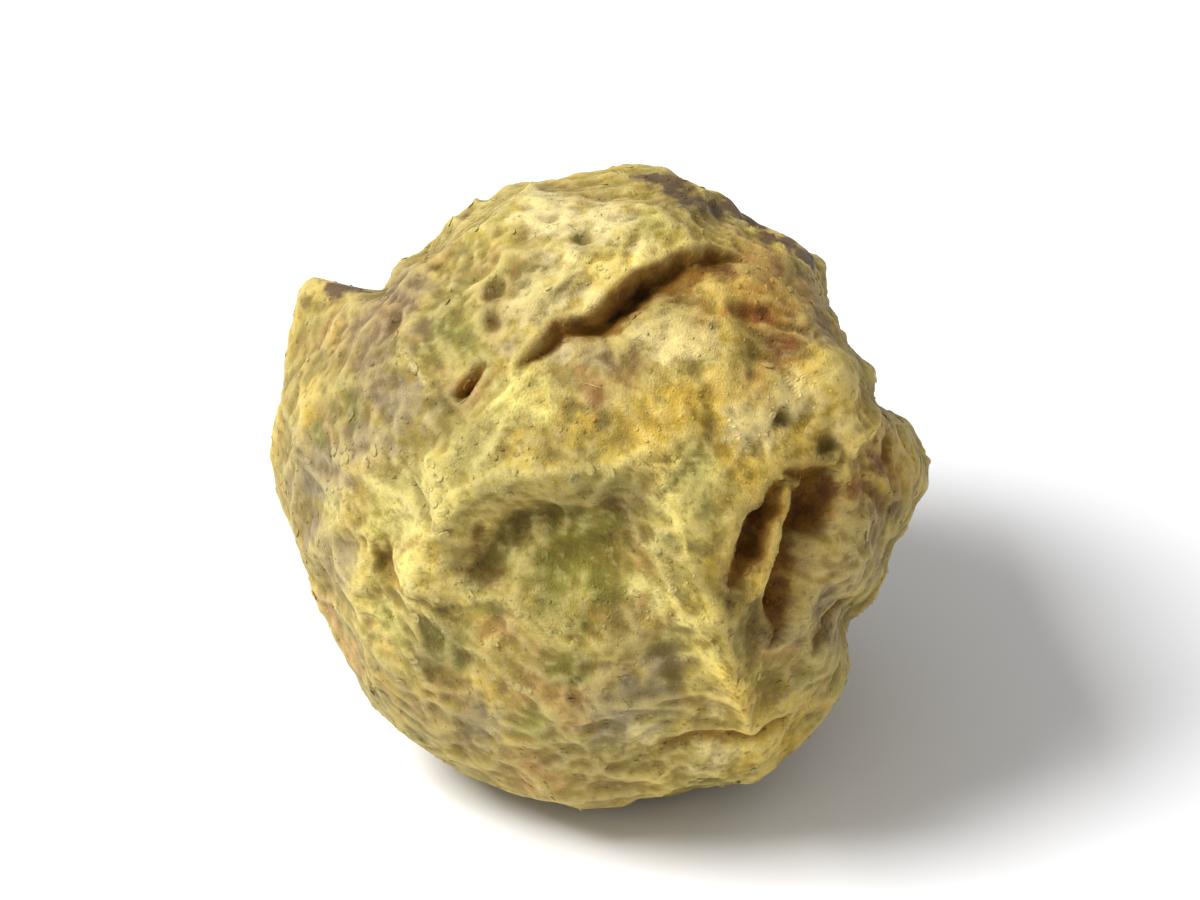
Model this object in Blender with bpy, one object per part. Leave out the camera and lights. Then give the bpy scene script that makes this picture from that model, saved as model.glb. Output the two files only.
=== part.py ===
import math

import bmesh
import bpy
import numpy as np
from mathutils import Vector, noise

# Driving dimensions, in metres: the grain's whole size as it lies
WIDTH = 0.00535  # left to right
DEPTH = 0.00520  # front to back
HEIGHT = 0.00505
SPOT_DEPTH = 0.00006  # skin pressed flat under the grain, so that it rests on a spot about 1.7 mm across

# The view that places are read in: how far above the surface the grain is looked at, where the middle of the
# round ball lies in that view, as the underside bulges more than the top, and how much it is squeezed upwards
VIEW_TILT = math.radians(35)
VIEW_MIDDLE = (0.012, 0.083)
VIEW_SHARE_UP = 0.96

# Mesh
FINE_LEVELS = 7
TRIANGLES = 6600

# Skin features. Places are (across, up) in the tilted view, and places and sizes are shares of the radius.
# Low broad forms: place, size across, size up, turn in degrees, height
FORMS = {
    "flap": ((0.02, 0.72), 0.40, 0.15, 20, 0.015),
    "under_flap": ((0.12, 0.44), 0.34, 0.10, 24, -0.026),
    "plateau": ((0.30, 0.32), 0.28, 0.17, 0, 0.03),
    "central_dent": ((-0.09, -0.21), 0.25, 0.16, -8, -0.125),
    "dent_left_end": ((-0.31, -0.22), 0.09, 0.10, 20, -0.04),
    "dent_mouth": ((0.02, -0.36), 0.12, 0.13, 25, -0.035),
    "chin": ((-0.12, -0.66), 0.34, 0.22, 0, 0.026),
    "knob": ((0.69, 0.30), 0.13, 0.14, 0, 0.085),
    "knob_hollow": ((0.49, 0.13), 0.06, 0.07, 0, -0.012),
    "right_lobe": ((0.76, -0.22), 0.13, 0.18, 0, 0.04),
    "slot_bay": ((0.59, -0.16), 0.10, 0.21, -15, -0.052),
    "slot_fan": ((0.485, -0.40), 0.05, 0.07, 0, -0.03),
    "left_cheek": ((-0.80, 0.05), 0.22, 0.35, 0, 0.012),
    "left_hollow": ((-0.67, -0.24), 0.07, 0.15, -25, -0.03),
    "brow_hollow": ((-0.47, 0.58), 0.15, 0.16, 0, -0.018),
    "grey_hollow": ((-0.62, 0.22), 0.11, 0.15, 0, -0.016),
    "scar_hollow": ((0.46, 0.565), 0.085, 0.045, -12, -0.04),
    "lower_lip": ((0.50, -0.80), 0.22, 0.08, 16, 0.016),
    "right_groove": ((0.20, -0.52), 0.05, 0.11, 28, -0.036),
    "edge_groove": ((0.56, -0.56), 0.07, 0.13, 10, -0.024),
}

# Bulges and hollows of the outline: angle round the view in degrees, half width in degrees, height
RIM = {
    "upper_left": (127, 20, -0.142),
    "beak_foot": (141.5, 4.5, -0.092),
    "top_left": (96, 13, -0.09),
    "top_right": (59, 15.5, -0.182),
    "shoulder": (34, 9, -0.16),
    "knob_side": (25, 9, -0.14),
    "knob_foot": (12.8, 4.5, -0.15),
    "right_tip": (5, 7, -0.048),
    "right_side": (-20, 11, -0.085),
    "notch": (-34.5, 6, -0.108),
    "lower_right": (-60, 17, 0.084),
    "underside": (-96, 24, 0.146),
    "lower_left": (-158, 13, -0.01),
    "heel": (-129, 16, 0.064),
    "left_side": (170, 17, 0.016),
}
RIM_REACH = 0.42  # how far in front of and behind the outline these reach

# Folds: path, half width, height; where the height is negative, a soft groove
FOLDS = {
    "arch": (
        [
            (-0.56, -0.36),
            (-0.53, -0.22),
            (-0.46, -0.10),
            (-0.33, -0.01),
            (-0.16, 0.03),
            (0.0, 0.05),
            (0.12, 0.04),
            (0.20, -0.02),
        ],
        0.075,
        0.075,
    ),
    "right_ridge": (
        [
            (0.20, 0.06),
            (0.22, -0.08),
            (0.26, -0.24),
            (0.32, -0.38),
            (0.37, -0.53),
            (0.42, -0.67),
            (0.44, -0.78),
        ],
        0.075,
        0.085,
    ),
    "cream_ridge": (
        [(-0.56, -0.02), (-0.48, 0.06), (-0.38, 0.18), (-0.28, 0.27), (-0.18, 0.35)],
        0.06,
        0.045,
    ),
    "dent_wall": (
        [(-0.36, -0.33), (-0.35, -0.22), (-0.29, -0.14), (-0.18, -0.10), (-0.04, -0.08), (0.08, -0.09)],
        0.05,
        -0.036,
    ),
    "knob_brow": ([(0.54, 0.27), (0.63, 0.34), (0.74, 0.39), (0.82, 0.34)], 0.055, 0.022),
    "knob_lip": ([(0.72, 0.09), (0.78, 0.14), (0.84, 0.22), (0.86, 0.30)], 0.034, 0.034),
    "ridge_edge": (
        [(0.12, -0.20), (0.19, -0.30), (0.26, -0.40), (0.33, -0.51), (0.385, -0.61), (0.42, -0.71)],
        0.03,
        0.046,
    ),
    "slot_ridge": (
        [(0.57, 0.0), (0.555, -0.11), (0.525, -0.22), (0.485, -0.31), (0.45, -0.38)],
        0.03,
        0.046,
    ),
    "web": ([(0.66, 0.08), (0.72, 0.05), (0.755, 0.0), (0.77, -0.07)], 0.022, 0.024),
    "rim_ridge": ([(0.80, 0.04), (0.86, 0.0), (0.90, -0.08), (0.90, -0.18)], 0.026, 0.022),
    "flap_fold_left": ([(-0.24, 0.62), (-0.16, 0.56), (-0.10, 0.60), (-0.02, 0.66)], 0.03, 0.016),
    "flap_fold_right": ([(0.10, 0.88), (0.16, 0.78), (0.22, 0.74)], 0.03, 0.02),
    "left_fold": ([(-0.62, -0.04), (-0.70, -0.14), (-0.74, -0.28), (-0.72, -0.40)], 0.044, 0.022),
    "chin_fold": ([(-0.52, -0.42), (-0.38, -0.36), (-0.22, -0.40), (-0.06, -0.46)], 0.05, 0.024),
    "lip_fold": ([(0.12, -0.86), (0.30, -0.81), (0.46, -0.78), (0.60, -0.72)], 0.034, 0.026),
    "skin_edge": ([(0.10, 0.975), (0.36, 0.89), (0.56, 0.77), (0.68, 0.66)], 0.035, 0.026),
}

# Clefts: path with the half width on its right, half width on its left, depth, how proud the skin stands on
# the left and how far that skin hangs over
CLEFTS = {
    "flap_edge": (
        [
            (-0.27, 0.33, 0.02),
            (-0.18, 0.415, 0.036),
            (-0.12, 0.475, 0.05),
            (-0.03, 0.495, 0.05),
            (0.04, 0.56, 0.072),
            (0.11, 0.615, 0.10),
            (0.21, 0.664, 0.09),
            (0.32, 0.696, 0.06),
            (0.41, 0.688, 0.028),
        ],
        0.018,
        0.095,
        0.04,
        0.012,
    ),
    "flap_tail": (
        [(-0.46, 0.24, 0.02), (-0.41, 0.31, 0.03), (-0.36, 0.37, 0.02)],
        0.022,
        0.045,
        0.01,
        0.006,
    ),
    "plateau_crease": (
        [(-0.01, 0.47, 0.02), (0.01, 0.42, 0.02), (0.015, 0.36, 0.015)],
        0.018,
        0.016,
        0.0,
        0.0,
    ),
    "left_slot": (
        [
            (0.53, 0.02, 0.01),
            (0.515, -0.07, 0.03),
            (0.49, -0.17, 0.05),
            (0.445, -0.27, 0.062),
            (0.385, -0.37, 0.042),
        ],
        0.026,
        0.092,
        0.0,
        0.0,
    ),
    "right_slot": (
        [
            (0.53, -0.49, 0.025),
            (0.55, -0.37, 0.055),
            (0.57, -0.25, 0.055),
            (0.60, -0.13, 0.07),
            (0.60, -0.01, 0.045),
        ],
        0.026,
        0.105,
        0.0,
        0.0,
    ),
    "right_fork": (
        [(0.61, -0.22, 0.03), (0.645, -0.12, 0.06), (0.68, -0.03, 0.06), (0.71, 0.045, 0.03)],
        0.045,
        0.08,
        0.0,
        0.0,
    ),
    "under_ledge": (
        [(0.54, 0.02, 0.03), (0.61, 0.03, 0.05), (0.68, 0.04, 0.045), (0.73, 0.06, 0.02)],
        0.022,
        0.06,
        0.012,
        0.01,
    ),
    "lobe_groove": (
        [(0.77, 0.03, 0.02), (0.805, -0.01, 0.028), (0.86, -0.06, 0.034), (0.93, -0.07, 0.026)],
        0.032,
        0.028,
        0.0,
        0.0,
    ),
    "rim_groove": (
        [(0.86, 0.24, 0.02), (0.885, 0.16, 0.03), (0.89, 0.08, 0.036), (0.91, 0.02, 0.03)],
        0.034,
        0.03,
        0.0,
        0.0,
    ),
    "lip_crease": (
        [
            (0.14, -0.79, 0.02),
            (0.25, -0.755, 0.03),
            (0.345, -0.725, 0.034),
            (0.45, -0.71, 0.03),
            (0.56, -0.67, 0.02),
        ],
        0.03,
        0.036,
        0.0,
        0.0,
    ),
    "notch_crease": (
        [(0.64, -0.52, 0.02), (0.69, -0.475, 0.036), (0.76, -0.43, 0.04), (0.82, -0.40, 0.03)],
        0.036,
        0.046,
        0.0,
        0.0,
    ),
    "scar_crack": (
        [(0.50, 0.52, 0.02), (0.55, 0.495, 0.03), (0.60, 0.465, 0.03), (0.64, 0.44, 0.02)],
        0.024,
        0.022,
        0.0,
        0.0,
    ),
    "cheek_crack": (
        [(-0.70, -0.31, 0.015), (-0.68, -0.24, 0.024), (-0.66, -0.16, 0.015)],
        0.022,
        0.018,
        0.0,
        0.0,
    ),
}
STEEP_POWER = 2.6  # how steep the wall on the left is
PROUD_REACH = 0.22  # how far from a cleft the proud skin dies away
PROUD_EDGE = 0.35  # of the left half width, how soft the edge of the proud skin is
HANG_PLACE = (1.2, 1.3)  # in left half widths, where the skin hangs over most, and over what width
RIM_WAVER = (13.0, 41.0)  # scale and shift of the noise along a cleft's rim
WAVER_SHARE = 0.9  # of the left half width, how far the rim wavers
WIDTH_WAVER = (6.0, 43.0)  # the same noise for the strength and the width of a cleft, which come and go
STRENGTH_CHANGE = 2.2  # how much a shallow cleft's strength comes and goes
STRENGTH_LIMITS = (0.2, 1.3)
FIRM_DEPTH = 0.10  # a cleft as deep as this hardly comes and goes
FRAIL_LEAST = 0.15
HALF_CHANGE = 0.5  # how much the width on the right and the depth change with the noise

# Small pits: place, radius, depth
PITS = {
    "flap_high": ((-0.058, 0.737), 0.034, 0.034),
    "flap_left": ((-0.325, 0.612), 0.032, 0.034),
    "flap_low": ((-0.335, 0.52), 0.026, 0.028),
    "knob": ((0.548, 0.175), 0.024, 0.04),
    "knob_crack": ((0.708, 0.12), 0.034, 0.05),
    "scar": ((0.445, 0.575), 0.04, 0.022),
    "dent_left": ((-0.33, -0.24), 0.055, 0.016),
    "plateau_left": ((-0.10, 0.22), 0.03, 0.016),
    "plateau_top": ((0.462, 0.366), 0.034, 0.02),
    "plateau_right": ((0.328, 0.255), 0.034, 0.018),
    "plateau_low": ((0.338, 0.175), 0.034, 0.018),
    "brow": ((-0.655, 0.50), 0.034, 0.022),
    "chin_low": ((-0.42, -0.755), 0.032, 0.026),
    "chin_left": ((-0.473, -0.39), 0.045, 0.024),
    "chin_middle": ((-0.412, -0.527), 0.034, 0.018),
}

# Small lumps: place, radius, height
LUMPS = {
    "flap": [
        ((-0.15, 0.60), 0.07, 0.022),
        ((-0.215, 0.53), 0.055, 0.016),
        ((0.02, 0.61), 0.055, 0.022),
        ((-0.10, 0.67), 0.05, 0.014),
        ((-0.20, 0.87), 0.09, 0.018),
        ((0.04, 0.84), 0.08, 0.02),
        ((0.20, 0.82), 0.07, 0.016),
        ((-0.34, 0.78), 0.08, 0.014),
        ((0.08, 0.74), 0.055, 0.016),
        ((-0.27, 0.68), 0.05, 0.012),
    ],
    "plateau": [
        ((0.10, 0.45), 0.065, 0.02),
        ((-0.09, 0.425), 0.05, 0.018),
        ((0.25, 0.47), 0.08, 0.016),
        ((0.05, 0.27), 0.08, 0.014),
        ((0.38, 0.30), 0.07, 0.014),
        ((0.42, 0.45), 0.06, 0.014),
        ((0.22, 0.20), 0.08, 0.012),
        ((0.50, 0.25), 0.06, 0.016),
    ],
    "brow": [
        ((0.45, 0.65), 0.07, 0.022),
        ((0.58, 0.60), 0.07, 0.016),
        ((0.66, 0.50), 0.06, 0.016),
        ((0.55, 0.74), 0.08, 0.016),
    ],
    "lobe": [
        ((0.80, -0.14), 0.06, 0.016),
        ((0.72, -0.24), 0.055, 0.016),
        ((0.82, -0.28), 0.06, 0.016),
        ((0.68, -0.36), 0.05, 0.014),
    ],
    "cheek": [
        ((-0.75, 0.16), 0.09, 0.012),
        ((-0.82, -0.10), 0.10, 0.012),
        ((-0.62, 0.36), 0.06, 0.01),
        ((-0.56, -0.44), 0.08, 0.016),
    ],
}

# Beak left by the flower, a pinched corner of skin on the outline: angle round the view in degrees,
# reach in degrees towards the top and towards the left side, half width front to back, height
BEAK = (147.5, 2.4, 13, 0.14, 0.140)

# Cells of the dried skin, ridged along their borders: how many, seed, shake of their centres,
# share of the radius over which a border falls off, ridge height, hollow depth,
# wander and its scale, and how much of them shows on the side with its own features
BIG_CELLS = (30, 11, 0.30, 0.15, 0.050, 0.078, 0.24, 1.7, 0.20)
SMALL_CELLS = (150, 5, 0.12, 0.07, 0.022, 0.014, 0.10, 3.4, 0.50)
CELL_WOBBLE = (0.055, 5.0)  # bends the borders a little, and the scale of it
RIDGE_CHANGE = (0.75, 1.5, 2.3, 21.0)  # middle, range, scale and shift of the noise in a ridge's height
RIDGE_LIMITS = (0.15, 1.3)
FRONT_EDGE = (-0.12, 0.10)  # where the side with its own features begins, and how softly

# Stalk scar on the back: direction, radius, rim height, half width of the rim, pit depth
STALK = ((0.60, 0.76, 0.16), 0.17, 0.022, 0.05, 0.035)

# Uneven drying: wander of the creases and its scale, then the wrinkles' depths, scales and shifts
WANDER = (0.030, 4.5)
WRINKLES = ((0.020, 4.0, 0.0), (0.012, 8.4, 5.0))
CALM_UNDER = (0.45, -0.02)  # the relief settles this near the resting spot, and its height there

RIGHT = np.array((1.0, 0.0, 0.0))
UP = np.array((0.0, math.sin(VIEW_TILT), math.cos(VIEW_TILT)))
NEAR = np.array((0.0, -math.cos(VIEW_TILT), math.sin(VIEW_TILT)))


def unit(vectors):
    return vectors / np.linalg.norm(vectors, axis=-1, keepdims=True)


def seen(place):
    """Direction of the skin seen at this place of the tilted view."""
    across = place[0] - VIEW_MIDDLE[0]
    up = (place[1] - VIEW_MIDDLE[1]) / VIEW_SHARE_UP
    near = math.sqrt(max(0.0, 1.0 - across * across - up * up))
    return unit(across * RIGHT + up * UP + near * NEAR)


def smooth_path(places, steps=8):
    """Directions along a Catmull-Rom curve through the places."""
    knots = np.array([seen(p) for p in places])
    knots = np.vstack((2 * knots[0] - knots[1], knots, 2 * knots[-1] - knots[-2]))
    points = []
    for before, start, end, after in zip(knots, knots[1:], knots[2:], knots[3:]):
        for t in np.arange(steps) / steps:
            bend = (2 * before - 5 * start + 4 * end - after) * t**2
            twist = (3 * start - before - 3 * end + after) * t**3
            points.append(0.5 * (2 * start + (end - before) * t + bend + twist))
    points.append(knots[-2])
    return unit(np.array(points))


def along(skin, path):
    """Distance to the path, positive on its left, place along it from 0 to 1, and the way to its left."""
    tangents = unit(np.gradient(path, axis=0))
    left = unit(np.cross(path, tangents))
    nearest = np.argmax(skin @ path.T, axis=1)
    offset = skin - path[nearest]
    side = np.einsum("ij,ij->i", offset, left[nearest])
    distance = np.linalg.norm(offset, axis=1)
    return distance * np.where(side < 0, -1.0, 1.0), nearest / (len(path) - 1), left[nearest]


def taper(place):
    """Full in the middle of a path, and fading out towards both ends."""
    return np.clip(np.sin(np.pi * np.clip(place, 0.0, 1.0)), 0.0, 1.0) ** 0.6


def hill(distance, width):
    return np.exp(-((distance / width) ** 2))


def crest(distance, width):
    """A fold of skin: a tight top with hollow flanks."""
    return np.exp(0.2 - np.sqrt((distance / width) ** 2 + 0.04))


def trough(distance, left, right):
    """A cleft: a steep side on the left of its path, and an easier one on the right."""
    gap = np.abs(distance)
    return np.where(distance > 0, np.exp(-((gap / left) ** STEEP_POWER)), hill(gap, right))


def shelf(distance, edge, reach):
    """Skin that stands proud on the left of a cleft and dies away."""
    return hill(np.maximum(distance, 0), reach) / (1 + np.exp(-(distance - edge) / (PROUD_EDGE * edge)))


def noise_of(points, scale, shift=0.0):
    offset = Vector((shift, shift * 1.7, -shift))
    return np.array([noise.noise(Vector(p) * scale + offset) for p in points])


def wander(skin, strength, scale):
    """The same directions, each moved a little, so that no crease is ruled straight."""
    moved = np.column_stack([noise_of(skin, scale, shift) for shift in (3.1, 7.7, 12.9)])
    return unit(skin + strength * moved)


def spread_centres(count, seed, shake):
    """Centres of the skin's cells, spread over the whole grain and shaken, and a depth's share for each."""
    random = np.random.default_rng(seed)
    index = np.arange(count) + 0.5
    polar = np.arccos(1 - 2 * index / count)
    turn = math.pi * (1 + math.sqrt(5)) * index
    spread = np.column_stack((np.cos(turn) * np.sin(polar), np.sin(turn) * np.sin(polar), np.cos(polar)))
    return unit(spread + shake * random.normal(size=spread.shape)), random.uniform(0.3, 1.0, count)


def cell_relief(skin, cells, front):
    count, seed, shake, width, rise, depth, strength, scale, share = cells
    centres, depths = spread_centres(count, seed, shake)
    bent = wander(wander(skin, *CELL_WOBBLE), strength, scale)
    gaps = np.linalg.norm(bent[:, None, :] - centres[None, :, :], axis=2)
    order = np.argsort(gaps, axis=1)[:, :2]
    rows = np.arange(len(skin))
    border = gaps[rows, order[:, 1]] - gaps[rows, order[:, 0]]
    ridge = crest(border, width)
    middle, spread, noise_scale, shift = RIDGE_CHANGE
    uneven = np.clip(middle + spread * noise_of(skin, noise_scale, shift), *RIDGE_LIMITS)
    height = rise * ridge * uneven - depth * depths[order[:, 0]] * (1 - ridge) ** 1.5
    return height * (1 - (1 - share) * front)


def form_relief(skin):
    height = np.zeros(len(skin))
    for place, across, up, turn, rise in FORMS.values():
        centre = seen(place)
        east = unit(np.cross(UP, centre))
        north = np.cross(centre, east)
        angle = math.radians(turn)
        x, y = skin @ east, skin @ north
        a = (x * math.cos(angle) + y * math.sin(angle)) / across
        b = (y * math.cos(angle) - x * math.sin(angle)) / up
        height += rise * np.exp(-(a**2 + b**2)) * (skin @ centre > 0)
    return height


def view_angle(skin):
    """Angle round the tilted view, in degrees, anticlockwise from the right."""
    return np.degrees(np.arctan2(skin @ UP, skin @ RIGHT))


def rim_relief(skin):
    turn = view_angle(skin)
    rim = hill(skin @ NEAR, RIM_REACH)
    height = np.zeros(len(skin))
    for angle, width, rise in RIM.values():
        gap = (turn - angle + 180) % 360 - 180
        height += rise * hill(gap, width) * rim
    return height


def beak_relief(skin):
    angle, above, below, width, rise = BEAK
    gap = (view_angle(skin) - angle + 180) % 360 - 180
    reach = np.where(gap < 0, above, below)
    side = np.sqrt((gap / reach) ** 2 + (skin @ NEAR / width) ** 2)
    return rise * np.exp(-(side**1.5))


def fold_relief(skin):
    height = np.zeros(len(skin))
    for path, width, rise in FOLDS.values():
        gap, place, _ = along(skin, smooth_path(path))
        profile = crest(gap, width) if rise > 0 else hill(gap, width)
        height += rise * profile * taper(place)
    return height


def cleft_relief(skin):
    """Height of the clefts, and the sideways push of the skin that hangs over them."""
    height, push = np.zeros(len(skin)), np.zeros_like(skin)
    waver, uneven = noise_of(skin, *RIM_WAVER), noise_of(skin, *WIDTH_WAVER)
    for path, width, depth, proud, hang in CLEFTS.values():
        gap, place, left = along(skin, smooth_path(path))
        gap = gap + WAVER_SHARE * width * waver
        frail = max(FRAIL_LEAST, 1 - depth / FIRM_DEPTH)
        strength = taper(place) * np.clip(1 + STRENGTH_CHANGE * frail * uneven, *STRENGTH_LIMITS)
        right = np.interp(place, np.linspace(0, 1, len(path)), [p[2] for p in path])
        right *= 1 + HALF_CHANGE * uneven
        height -= depth * strength * (1 - HALF_CHANGE * waver) * trough(gap, width, right)
        height += proud * strength * shelf(gap, width, PROUD_REACH)
        middle, spread = HANG_PLACE
        push -= left * (hang * strength * hill(gap - middle * width, spread * width))[:, None]
    return height, push


def spot_relief(skin):
    height = np.zeros(len(skin))
    for place, radius, depth in PITS.values():
        height -= depth * hill(np.linalg.norm(skin - seen(place), axis=1), radius)
    for group in LUMPS.values():
        for place, radius, rise in group:
            height += rise * hill(np.linalg.norm(skin - seen(place), axis=1), radius)
    return height


def stalk_relief(skin):
    direction, radius, rim, rim_width, pit = STALK
    gap = np.linalg.norm(skin - unit(np.array(direction)), axis=1)
    return rim * hill(gap - radius, rim_width) - pit * hill(gap, 0.6 * radius)


def displaced(skin):
    """The skin's points, in shares of the radius."""
    bent = wander(skin, *WANDER)
    middle, softness = FRONT_EDGE
    front = 1 / (1 + np.exp(-(skin @ NEAR - middle) / softness))
    height = cell_relief(skin, BIG_CELLS, front) + cell_relief(skin, SMALL_CELLS, front)
    height += form_relief(bent) + rim_relief(skin) + fold_relief(bent)
    cleft_height, push = cleft_relief(bent)
    height += cleft_height + spot_relief(bent) + stalk_relief(bent)
    for depth, scale, shift in WRINKLES:
        height -= depth * np.abs(noise_of(bent, scale, shift))
    height += beak_relief(skin)
    reach, level = CALM_UNDER
    calm = hill(np.linalg.norm(skin - (0, 0, -1), axis=1), reach)
    height += calm * (level - height)
    return skin * (1 + height)[:, None] + push


def make_grain():
    bm = bmesh.new()
    bmesh.ops.create_icosphere(bm, subdivisions=FINE_LEVELS, radius=1.0)
    skin = unit(np.array([v.co for v in bm.verts]))
    points = displaced(skin)
    low, high = points.min(axis=0), points.max(axis=0)
    size = np.array((WIDTH, DEPTH, HEIGHT + SPOT_DEPTH))
    points = (points - (low + high) / 2) * size / (high - low)
    points[:, 2] += HEIGHT / 2 - SPOT_DEPTH / 2
    for vert, point in zip(bm.verts, points):
        vert.co = point
    mesh = bpy.data.meshes.new("peppercorn")
    bm.to_mesh(mesh)
    bm.free()
    mesh.shade_smooth()
    grain = bpy.data.objects.new("peppercorn", mesh)
    bpy.context.scene.collection.objects.link(grain)
    return grain


def dried_skin():
    material = bpy.data.materials.new("dried_skin")
    material.use_nodes = True
    shader = material.node_tree.nodes["Principled BSDF"]
    shader.inputs["Base Color"].default_value = (0.38, 0.32, 0.10, 1)
    shader.inputs["Roughness"].default_value = 0.85
    shader.inputs["Metallic"].default_value = 0.0
    return material


def thin_out(grain):
    """Fewer triangles, kept where the skin bends most."""
    thin = grain.modifiers.new("thin_out", "DECIMATE")
    thin.ratio = TRIANGLES / (20 * 4 ** (FINE_LEVELS - 1))
    thin.use_collapse_triangulate = True


def press_flat(grain):
    """Cuts the resting spot off level, after the thinning, so that it is truly flat."""
    bpy.ops.mesh.primitive_cube_add(size=WIDTH, location=(0, 0, -WIDTH / 2))
    surface = bpy.context.object
    surface.name = "surface_cutter"
    surface.hide_render = True
    surface.display_type = "WIRE"
    level = grain.modifiers.new("level", "BOOLEAN")
    level.operation = "DIFFERENCE"
    level.object = surface


def main():
    for old in list(bpy.data.objects):
        bpy.data.objects.remove(old, do_unlink=True)
    grain = make_grain()
    grain.data.materials.append(dried_skin())
    thin_out(grain)
    press_flat(grain)


main()
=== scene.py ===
import math

import bmesh
import bpy
import numpy as np
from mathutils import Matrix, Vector, noise
from mathutils.kdtree import KDTree


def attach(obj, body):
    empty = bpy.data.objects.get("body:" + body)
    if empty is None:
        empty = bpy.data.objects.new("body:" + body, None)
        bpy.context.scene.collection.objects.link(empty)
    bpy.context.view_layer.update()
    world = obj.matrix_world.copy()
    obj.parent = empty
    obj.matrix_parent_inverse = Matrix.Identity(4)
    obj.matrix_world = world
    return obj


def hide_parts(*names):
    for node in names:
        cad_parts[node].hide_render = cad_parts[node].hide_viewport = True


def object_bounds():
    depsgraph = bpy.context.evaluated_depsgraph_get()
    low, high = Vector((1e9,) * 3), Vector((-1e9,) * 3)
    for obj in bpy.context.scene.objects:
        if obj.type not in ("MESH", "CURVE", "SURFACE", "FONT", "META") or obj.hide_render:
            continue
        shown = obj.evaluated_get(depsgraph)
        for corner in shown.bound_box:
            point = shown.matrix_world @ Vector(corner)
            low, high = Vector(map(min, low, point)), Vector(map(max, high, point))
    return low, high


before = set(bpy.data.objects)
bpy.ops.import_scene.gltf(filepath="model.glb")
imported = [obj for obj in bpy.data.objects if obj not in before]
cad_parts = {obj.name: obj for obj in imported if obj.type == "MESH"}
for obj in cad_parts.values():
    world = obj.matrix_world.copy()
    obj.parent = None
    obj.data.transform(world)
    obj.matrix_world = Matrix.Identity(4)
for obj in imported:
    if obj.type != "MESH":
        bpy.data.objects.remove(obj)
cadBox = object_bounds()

boxLow, boxHigh = np.array(cadBox[0]), np.array(cadBox[1])
boxMiddle = (boxLow + boxHigh) / 2

# Places are (across, up) in the view from the front, tilted down, in shares of the grain's radius.
# Heights, depths and widths are shares of the radius too, unless a name or a note says otherwise.

view = {
    "tilt": math.radians(35),  # how far above the table the grain is seen
    "distance": 0.081,  # metres from the grain to the camera
    "lens": 300,
    "grainWidth": 2.04,  # of the grain as it is seen
    "grainRise": 0.008,  # of the grain's middle over that of the places
}

ball = {
    "middle": (0.012, 0.083),  # the ball's middle in the view, as the underside bulges more than the top
    "shareUp": 0.96,
    "cuts": 124,  # quads along a cube edge of the ball, less one
    "spotDepth": 0.00006,  # metres pressed flat under the grain
    "calmUnder": (0.45, -0.02),  # the relief settles to one height this near the resting spot
    "rimReach": 0.42,  # how far in front of and behind the outline its bulges reach
    "frontEdge": (-0.12, 0.10),  # where the side with its own features begins, and how softly
    "gather": (0.50, 0.11),  # how strongly, and over what width, the mesh crowds towards folds and clefts
    "pathSteps": 8,  # from one place of a path to the next
    "bluntEnds": 0.6,  # the lower, the blunter folds and clefts end
}

forms = {  # place, size across, size up, turn in degrees, height
    "flap": ((0.02, 0.72), 0.40, 0.15, 20, 0.015),
    "underFlap": ((0.12, 0.44), 0.34, 0.10, 24, -0.026),
    "plateau": ((0.30, 0.32), 0.28, 0.17, 0, 0.03),
    "centralDent": ((-0.09, -0.21), 0.25, 0.16, -8, -0.125),
    "dentLeftEnd": ((-0.35, -0.25), 0.08, 0.11, 15, -0.046),
    "dentMouth": ((0.02, -0.36), 0.12, 0.13, 25, -0.035),
    "chin": ((-0.12, -0.66), 0.34, 0.22, 0, 0.026),
    "knob": ((0.69, 0.30), 0.13, 0.14, 0, 0.085),
    "knobHollow": ((0.49, 0.13), 0.06, 0.07, 0, -0.012),
    "rightLobe": ((0.76, -0.22), 0.13, 0.18, 0, 0.04),
    "slotBay": ((0.59, -0.16), 0.10, 0.21, -15, -0.052),
    "slotFan": ((0.485, -0.40), 0.05, 0.07, 0, -0.03),
    "leftCheek": ((-0.80, 0.05), 0.22, 0.35, 0, 0.012),
    "leftHollow": ((-0.67, -0.24), 0.07, 0.15, -25, -0.03),
    "browHollow": ((-0.47, 0.58), 0.15, 0.16, 0, -0.018),
    "greyHollow": ((-0.62, 0.22), 0.11, 0.15, 0, -0.016),
    "scarHollow": ((0.46, 0.52), 0.09, 0.036, -8, -0.02),
    "lowerLip": ((0.50, -0.80), 0.22, 0.08, 16, 0.016),
    "rightGroove": ((0.20, -0.52), 0.05, 0.11, 28, -0.036),
    "edgeGroove": ((0.56, -0.56), 0.07, 0.13, 10, -0.024),
}

rim = {  # outline seen from the front: angle and half width in degrees, height
    "upperLeft": (127, 20, -0.142),
    "beakFoot": (141.5, 4.5, -0.062),
    "topLeft": (96, 13, -0.09),
    "topRight": (59, 15.5, -0.182),
    "shoulder": (34, 9, -0.16),
    "knobSide": (25, 9, -0.14),
    "knobFoot": (12.8, 4.5, -0.15),
    "rightTip": (5, 7, -0.048),
    "rightSide": (-20, 11, -0.085),
    "notch": (-34.5, 6, -0.108),
    "lowerRight": (-60, 17, 0.084),
    "underside": (-96, 24, 0.146),
    "lowerLeft": (-158, 13, -0.01),
    "heel": (-129, 16, 0.064),
    "leftSide": (170, 17, 0.016),
}

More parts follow.
